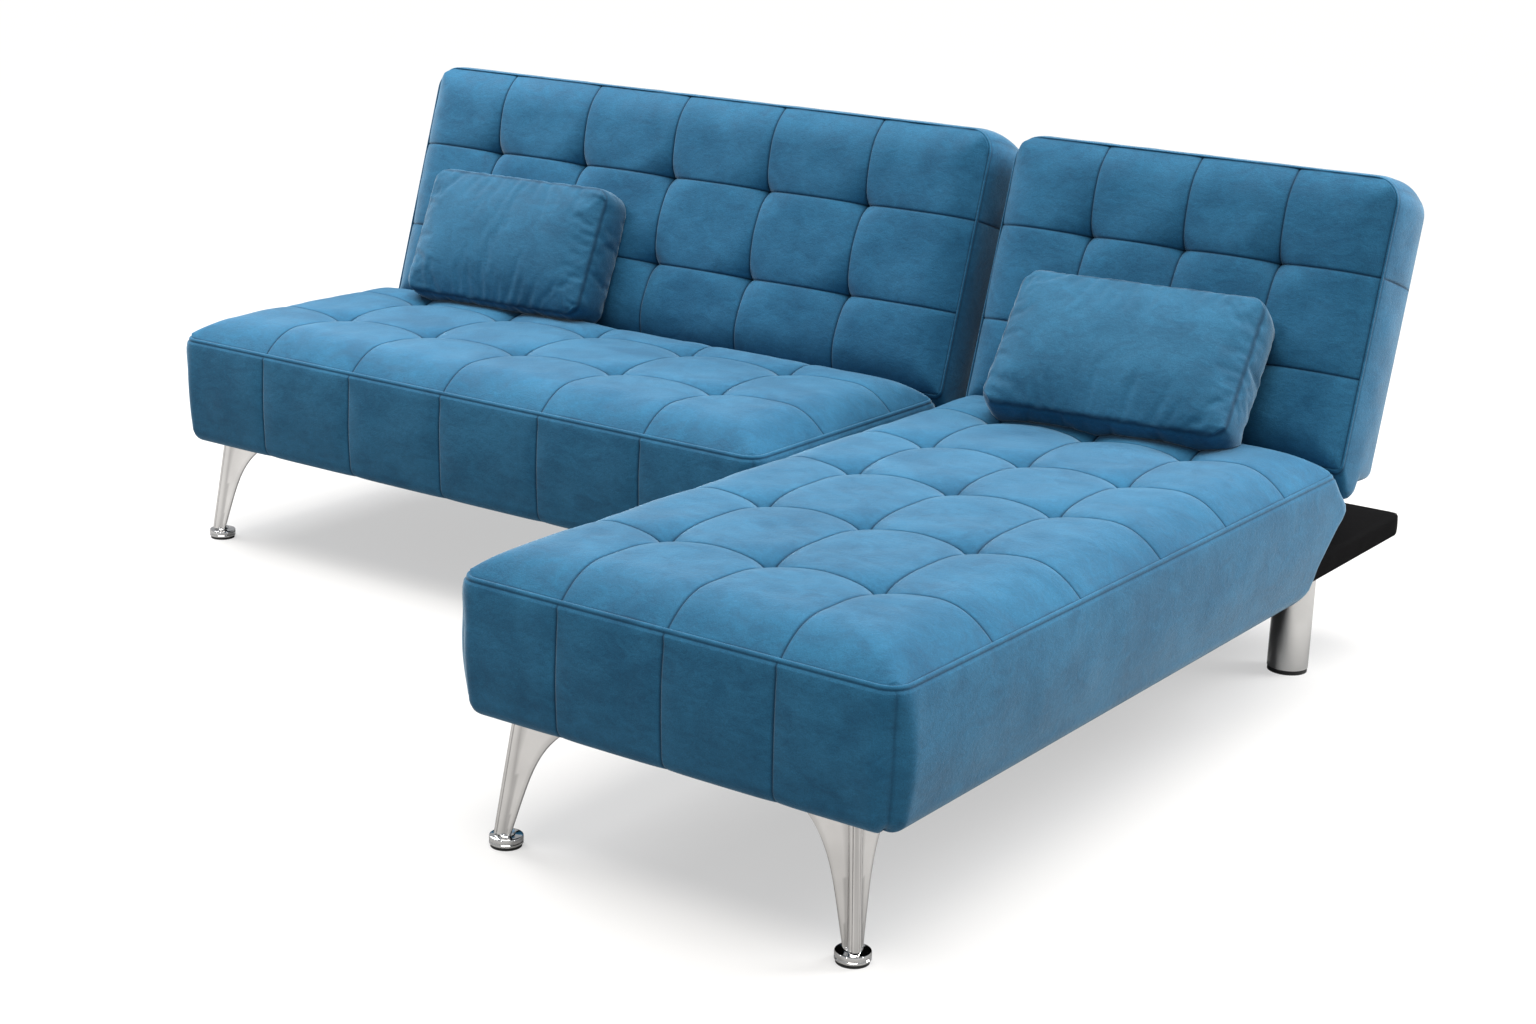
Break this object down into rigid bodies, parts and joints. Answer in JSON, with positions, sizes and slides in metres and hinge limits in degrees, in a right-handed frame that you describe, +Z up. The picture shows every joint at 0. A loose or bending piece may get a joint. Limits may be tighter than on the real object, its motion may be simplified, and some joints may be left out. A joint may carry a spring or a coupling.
{
  "type": "corner futon sofa bed",
  "caption": "Tufted corner sofa bed: sofa and chaise units hooked side by side, each with a click-clack back that folds flat, metal legs and a loose box pillow.",
  "frame": {"origin": "centre of the footprint, on the floor", "axes": "+X to the right along the backs (the long side), +Y to the rear, +Z up; the chaise runs forward along -Y"},
  "size_m": [2.172, 1.75, 0.8829],
  "materials": {
    "velvet": "matte",
    "pillow_velvet": "matte",
    "foam": "matte",
    "spring_steel": "satin",
    "frame_steel": "satin",
    "black_cloth": "matte",
    "black_frame": "satin",
    "zinc_steel": "satin",
    "webbing": "matte",
    "chrome": "polished",
    "black_plastic": "matte"
  },
  "bodies": {
    "base": {"sofa_seat_cover": "velvet", "sofa_seat_foam": "foam", "sofa_seat_springs": "spring_steel", "sofa_seat_frame": "frame_steel", "sofa_dust_cover": "black_cloth", "sofa_hinge_plates": "zinc_steel", "sofa_hinge_pins": "zinc_steel", "sofa_pawl_pins": "zinc_steel", "sofa_pawl_springs": "spring_steel", "sofa_support_frame": "black_frame", "sofa_support_cover": "black_cloth", "sofa_front_legs": "chrome", "sofa_leg_plates": "zinc_steel", "sofa_glides": "black_plastic", "sofa_rear_legs": "chrome", "sofa_leg_screws": "zinc_steel", "chaise_seat_cover": "velvet", "chaise_seat_foam": "foam", "chaise_seat_springs": "spring_steel", "chaise_seat_frame": "frame_steel", "chaise_dust_cover": "black_cloth", "chaise_hinge_plates": "zinc_steel", "chaise_hinge_pins": "zinc_steel", "chaise_pawl_pins": "zinc_steel", "chaise_pawl_springs": "spring_steel", "chaise_support_frame": "black_frame", "chaise_support_cover": "black_cloth", "chaise_front_legs": "chrome", "chaise_leg_plates": "zinc_steel", "chaise_glides": "black_plastic", "chaise_rear_legs": "chrome", "chaise_leg_screws": "zinc_steel", "connector_hooks": "zinc_steel", "connector_sockets": "zinc_steel"},
    "sofa_back": {"sofa_back_cover": "velvet", "sofa_back_foam": "foam", "sofa_back_webbing": "webbing", "sofa_back_frame": "frame_steel", "sofa_back_panel": "velvet", "sofa_back_brackets": "zinc_steel"},
    "sofa_pillow": {"sofa_pillow_cover": "pillow_velvet", "sofa_pillow_insert": "foam", "sofa_pillow_zip": "pillow_velvet"},
    "sofa_pawls": {"sofa_pawls": "zinc_steel"},
    "chaise_back": {"chaise_back_cover": "velvet", "chaise_back_foam": "foam", "chaise_back_webbing": "webbing", "chaise_back_frame": "frame_steel", "chaise_back_panel": "velvet", "chaise_back_brackets": "zinc_steel"},
    "chaise_pillow": {"chaise_pillow_cover": "pillow_velvet", "chaise_pillow_insert": "foam", "chaise_pillow_zip": "pillow_velvet"},
    "chaise_pawls": {"chaise_pawls": "zinc_steel"}
  },
  "joints": [
    {"name": "sofa_back_recline", "type": "hinge", "parent": "base", "child": "sofa_back", "pos_m": [-0.394, 0.5496, 0.36], "axis": [1, 0, 0], "range_deg": [-73, 5]},
    {"name": "sofa_pillow_tip", "type": "hinge", "parent": "base", "child": "sofa_pillow", "pos_m": [-0.69467, 0.47834, 0.41961], "axis": [0.9976, 0.0698, 0], "range_deg": [-66.1, 4.62]},
    {"name": "sofa_pawl_lift", "type": "hinge", "parent": "base", "child": "sofa_pawls", "pos_m": [-0.394, 0.5056, 0.334], "axis": [1, 0, 0], "range_deg": [0, 12], "stiffness_Nm_per_rad": 0.05, "springref_deg": -17.19},
    {"name": "chaise_back_recline", "type": "hinge", "parent": "base", "child": "chaise_back", "pos_m": [0.716, 0.5496, 0.36], "axis": [1, 0, 0], "range_deg": [-73, 5]},
    {"name": "chaise_pillow_tip", "type": "hinge", "parent": "base", "child": "chaise_pillow", "pos_m": [0.71933, 0.43436, 0.40256], "axis": [0.9945, 0.1045, 0], "range_deg": [-56.1, 3.94]},
    {"name": "chaise_pawl_lift", "type": "hinge", "parent": "base", "child": "chaise_pawls", "pos_m": [0.716, 0.5056, 0.334], "axis": [1, 0, 0], "range_deg": [0, 12], "stiffness_Nm_per_rad": 0.05, "springref_deg": -17.19}
  ],
  "couplings": [
    {"joint": "sofa_pillow_tip", "follows": "sofa_back_recline", "ratio": 0.90411},
    {"joint": "chaise_pillow_tip", "follows": "chaise_back_recline", "ratio": 0.76712}
  ]
}
